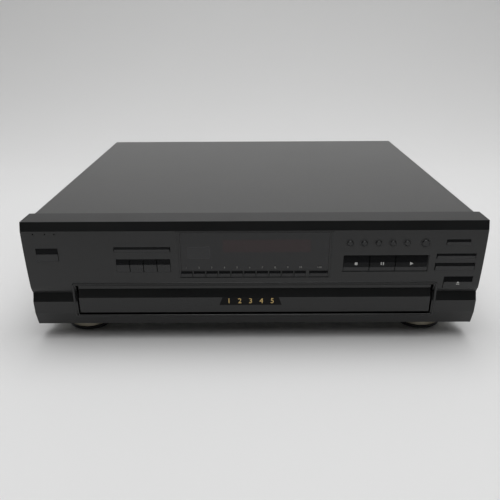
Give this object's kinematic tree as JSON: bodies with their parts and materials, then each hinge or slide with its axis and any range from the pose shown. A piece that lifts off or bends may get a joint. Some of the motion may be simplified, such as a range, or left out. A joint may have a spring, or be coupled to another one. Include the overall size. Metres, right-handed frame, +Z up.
{
  "type": "multi disc cd changer",
  "caption": "Black hi-fi disc changer with a front drawer carrying a carousel of disc wells, rows of keys beside and under a smoked display window, steel cover and round feet.",
  "frame": {"origin": "under the middle of the case without its leads, on the surface that the feet stand on", "axes": "+X to the right seen from the front, +Y to the rear, +Z up; the drawer opens along -Y"},
  "size_m": [0.43, 0.389, 0.125],
  "materials": {
    "fascia_plastic": "fine satin black moulding",
    "key_plastic": "satin black moulding",
    "window_plastic": "smoked, polished",
    "cover_paint": "satin black paint",
    "plated_steel": "zinc plated",
    "panel_paint": "black paint",
    "socket_plastic": "black moulding",
    "foot_plastic": "black with a metallic ring",
    "screw_steel": "blackened",
    "deck_plastic": "dark grey moulding",
    "tray_plastic": "black moulding",
    "acetal": "natural white",
    "board": "brown phenolic board",
    "core_steel": "varnished laminations",
    "belt_rubber": "smooth"
  },
  "bodies": {
    "case": {"fascia": "fascia_plastic", "display_window": "window_plastic", "control_board": "board", "top_cover": "cover_paint", "bottom_chassis": "plated_steel", "rear_panel": "panel_paint", "rear_sockets": "socket_plastic", "feet": "foot_plastic", "case_screws": "screw_steel", "loader_base": "deck_plastic", "clamp_bridge": "plated_steel", "loading_motor": "plated_steel", "drive_belt": "belt_rubber", "main_board": "board", "mains_transformer": "core_steel"},
    "drawer": {"drawer_tray": "tray_plastic", "drawer_front": "fascia_plastic"},
    "carousel": {"carousel": "tray_plastic"},
    "carousel_gear": {"carousel_gear": "acetal"},
    "pulley_gear": {"pulley_gear": "acetal"},
    "motor_pulley": {"motor_pulley": "acetal"},
    "traverse": {"traverse_plate": "plated_steel"},
    "turntable": {"turntable": "tray_plastic"},
    "pickup": {"pickup_sled": "deck_plastic"},
    "clamper": {"clamper": "acetal"},
    "power_key": {"power_key": "key_plastic"},
    "mode_key_1": {"mode_key_1": "key_plastic"},
    "mode_key_2": {"mode_key_2": "key_plastic"},
    "mode_key_3": {"mode_key_3": "key_plastic"},
    "mode_key_4": {"mode_key_4": "key_plastic"},
    "number_key_1": {"number_key_1": "key_plastic"},
    "number_key_2": {"number_key_2": "key_plastic"},
    "number_key_3": {"number_key_3": "key_plastic"},
    "number_key_4": {"number_key_4": "key_plastic"},
    "number_key_5": {"number_key_5": "key_plastic"},
    "number_key_6": {"number_key_6": "key_plastic"},
    "number_key_7": {"number_key_7": "key_plastic"},
    "number_key_8": {"number_key_8": "key_plastic"},
    "number_key_9": {"number_key_9": "key_plastic"},
    "number_key_10": {"number_key_10": "key_plastic"},
    "number_key_over_10": {"number_key_over_10": "key_plastic"},
    "disc_key_1": {"disc_key_1": "key_plastic"},
    "disc_key_2": {"disc_key_2": "key_plastic"},
    "disc_key_3": {"disc_key_3": "key_plastic"},
    "disc_key_4": {"disc_key_4": "key_plastic"},
    "disc_key_5": {"disc_key_5": "key_plastic"},
    "disc_skip_key": {"disc_skip_key": "key_plastic"},
    "stop_key": {"stop_key": "key_plastic"},
    "pause_key": {"pause_key": "key_plastic"},
    "play_key": {"play_key": "key_plastic"},
    "program_key": {"program_key": "key_plastic"},
    "open_close_key": {"open_close_key": "key_plastic"},
    "scan_bar": {"scan_bar": "key_plastic"},
    "search_rocker": {"search_rocker": "key_plastic"},
    "skip_rocker": {"skip_rocker": "key_plastic"}
  },
  "joints": [
    {"name": "drawer_slide", "type": "slide", "parent": "case", "child": "drawer", "axis": [0, -1, 0], "range_m": [0, 0.27]},
    {"name": "carousel_spin", "type": "hinge", "parent": "drawer", "child": "carousel", "pos_m": [0, -0.011, 0.05], "axis": [0, 0, 1], "continuous": true},
    {"name": "carousel_gear_spin", "type": "hinge", "parent": "drawer", "child": "carousel_gear", "pos_m": [-0.0297, -0.0407, 0.041], "axis": [0, 0, 1], "continuous": true},
    {"name": "traverse_lift", "type": "slide", "parent": "case", "child": "traverse", "axis": [0, 0, 1], "range_m": [0, 0.0105]},
    {"name": "pickup_slide", "type": "slide", "parent": "traverse", "child": "pickup", "axis": [0, 1, 0], "range_m": [0, 0.035]},
    {"name": "turntable_spin", "type": "hinge", "parent": "traverse", "child": "turntable", "pos_m": [0, 0.09278, 0.042], "axis": [0, 0, 1], "continuous": true},
    {"name": "clamper_spin", "type": "hinge", "parent": "case", "child": "clamper", "pos_m": [0, 0.09278, 0.06], "axis": [0, 0, 1], "continuous": true},
    {"name": "pulley_gear_turn", "type": "hinge", "parent": "case", "child": "pulley_gear", "pos_m": [-0.128, -0.1195, 0.03], "axis": [0, 0, -1], "range_deg": [0, 1474]},
    {"name": "motor_pulley_turn", "type": "hinge", "parent": "case", "child": "motor_pulley", "pos_m": [-0.188, -0.1395, 0.025], "axis": [0, 0, -1], "range_deg": [0, 6633]},
    {"name": "open_close_key_press", "type": "slide", "parent": "case", "child": "open_close_key", "axis": [0, 1, 0], "range_m": [0, 0.001], "stiffness_N_per_m": 800},
    {"name": "power_key_press", "type": "slide", "parent": "case", "child": "power_key", "axis": [0, 1, 0], "range_m": [0, 0.001], "stiffness_N_per_m": 800},
    {"name": "stop_key_press", "type": "slide", "parent": "case", "child": "stop_key", "axis": [0, 1, 0], "range_m": [0, 0.001], "stiffness_N_per_m": 800},
    {"name": "pause_key_press", "type": "slide", "parent": "case", "child": "pause_key", "axis": [0, 1, 0], "range_m": [0, 0.001], "stiffness_N_per_m": 800},
    {"name": "play_key_press", "type": "slide", "parent": "case", "child": "play_key", "axis": [0, 1, 0], "range_m": [0, 0.001], "stiffness_N_per_m": 800},
    {"name": "mode_key_1_press", "type": "slide", "parent": "case", "child": "mode_key_1", "axis": [0, 1, 0], "range_m": [0, 0.001], "stiffness_N_per_m": 800},
    {"name": "mode_key_2_press", "type": "slide", "parent": "case", "child": "mode_key_2", "axis": [0, 1, 0], "range_m": [0, 0.001], "stiffness_N_per_m": 800},
    {"name": "mode_key_3_press", "type": "slide", "parent": "case", "child": "mode_key_3", "axis": [0, 1, 0], "range_m": [0, 0.001], "stiffness_N_per_m": 800},
    {"name": "mode_key_4_press", "type": "slide", "parent": "case", "child": "mode_key_4", "axis": [0, 1, 0], "range_m": [0, 0.001], "stiffness_N_per_m": 800},
    {"name": "number_key_1_press", "type": "slide", "parent": "case", "child": "number_key_1", "axis": [0, 1, 0], "range_m": [0, 0.001], "stiffness_N_per_m": 800},
    {"name": "number_key_2_press", "type": "slide", "parent": "case", "child": "number_key_2", "axis": [0, 1, 0], "range_m": [0, 0.001], "stiffness_N_per_m": 800},
    {"name": "number_key_3_press", "type": "slide", "parent": "case", "child": "number_key_3", "axis": [0, 1, 0], "range_m": [0, 0.001], "stiffness_N_per_m": 800},
    {"name": "number_key_4_press", "type": "slide", "parent": "case", "child": "number_key_4", "axis": [0, 1, 0], "range_m": [0, 0.001], "stiffness_N_per_m": 800},
    {"name": "number_key_5_press", "type": "slide", "parent": "case", "child": "number_key_5", "axis": [0, 1, 0], "range_m": [0, 0.001], "stiffness_N_per_m": 800},
    {"name": "number_key_6_press", "type": "slide", "parent": "case", "child": "number_key_6", "axis": [0, 1, 0], "range_m": [0, 0.001], "stiffness_N_per_m": 800},
    {"name": "number_key_7_press", "type": "slide", "parent": "case", "child": "number_key_7", "axis": [0, 1, 0], "range_m": [0, 0.001], "stiffness_N_per_m": 800},
    {"name": "number_key_8_press", "type": "slide", "parent": "case", "child": "number_key_8", "axis": [0, 1, 0], "range_m": [0, 0.001], "stiffness_N_per_m": 800},
    {"name": "number_key_9_press", "type": "slide", "parent": "case", "child": "number_key_9", "axis": [0, 1, 0], "range_m": [0, 0.001], "stiffness_N_per_m": 800},
    {"name": "number_key_10_press", "type": "slide", "parent": "case", "child": "number_key_10", "axis": [0, 1, 0], "range_m": [0, 0.001], "stiffness_N_per_m": 800},
    {"name": "number_key_over_10_press", "type": "slide", "parent": "case", "child": "number_key_over_10", "axis": [0, 1, 0], "range_m": [0, 0.001], "stiffness_N_per_m": 800},
    {"name": "disc_key_1_press", "type": "slide", "parent": "case", "child": "disc_key_1", "axis": [0, 1, 0], "range_m": [0, 0.001], "stiffness_N_per_m": 800},
    {"name": "disc_key_2_press", "type": "slide", "parent": "case", "child": "disc_key_2", "axis": [0, 1, 0], "range_m": [0, 0.001], "stiffness_N_per_m": 800},
    {"name": "disc_key_3_press", "type": "slide", "parent": "case", "child": "disc_key_3", "axis": [0, 1, 0], "range_m": [0, 0.001], "stiffness_N_per_m": 800},
    {"name": "disc_key_4_press", "type": "slide", "parent": "case", "child": "disc_key_4", "axis": [0, 1, 0], "range_m": [0, 0.001], "stiffness_N_per_m": 800},
    {"name": "disc_key_5_press", "type": "slide", "parent": "case", "child": "disc_key_5", "axis": [0, 1, 0], "range_m": [0, 0.001], "stiffness_N_per_m": 800},
    {"name": "disc_skip_key_press", "type": "slide", "parent": "case", "child": "disc_skip_key", "axis": [0, 1, 0], "range_m": [0, 0.001], "stiffness_N_per_m": 800},
    {"name": "program_key_press", "type": "slide", "parent": "case", "child": "program_key", "axis": [0, 1, 0], "range_m": [0, 0.001], "stiffness_N_per_m": 800},
    {"name": "scan_bar_tip", "type": "hinge", "parent": "case", "child": "scan_bar", "pos_m": [-0.1045, -0.18935, 0.0981], "axis": [0, 0, 1], "range_deg": [-2.5, 2.5], "stiffness_Nm_per_rad": 0.4},
    {"name": "search_rocker_tip", "type": "hinge", "parent": "case", "child": "search_rocker", "pos_m": [0.1887, -0.18906, 0.0902], "axis": [0, 0, 1], "range_deg": [-2.5, 2.5], "stiffness_Nm_per_rad": 0.4},
    {"name": "skip_rocker_tip", "type": "hinge", "parent": "case", "child": "skip_rocker", "pos_m": [0.1887, -0.1882, 0.0793], "axis": [0, 0, 1], "range_deg": [-2.5, 2.5], "stiffness_Nm_per_rad": 0.4}
  ],
  "couplings": [
    {"joint": "carousel_gear_spin", "follows": "carousel_spin", "ratio": -2.5},
    {"joint": "pulley_gear_turn", "follows": "drawer_slide", "rad_per_m": 95.238},
    {"joint": "motor_pulley_turn", "follows": "drawer_slide", "rad_per_m": 428.57}
  ]
}
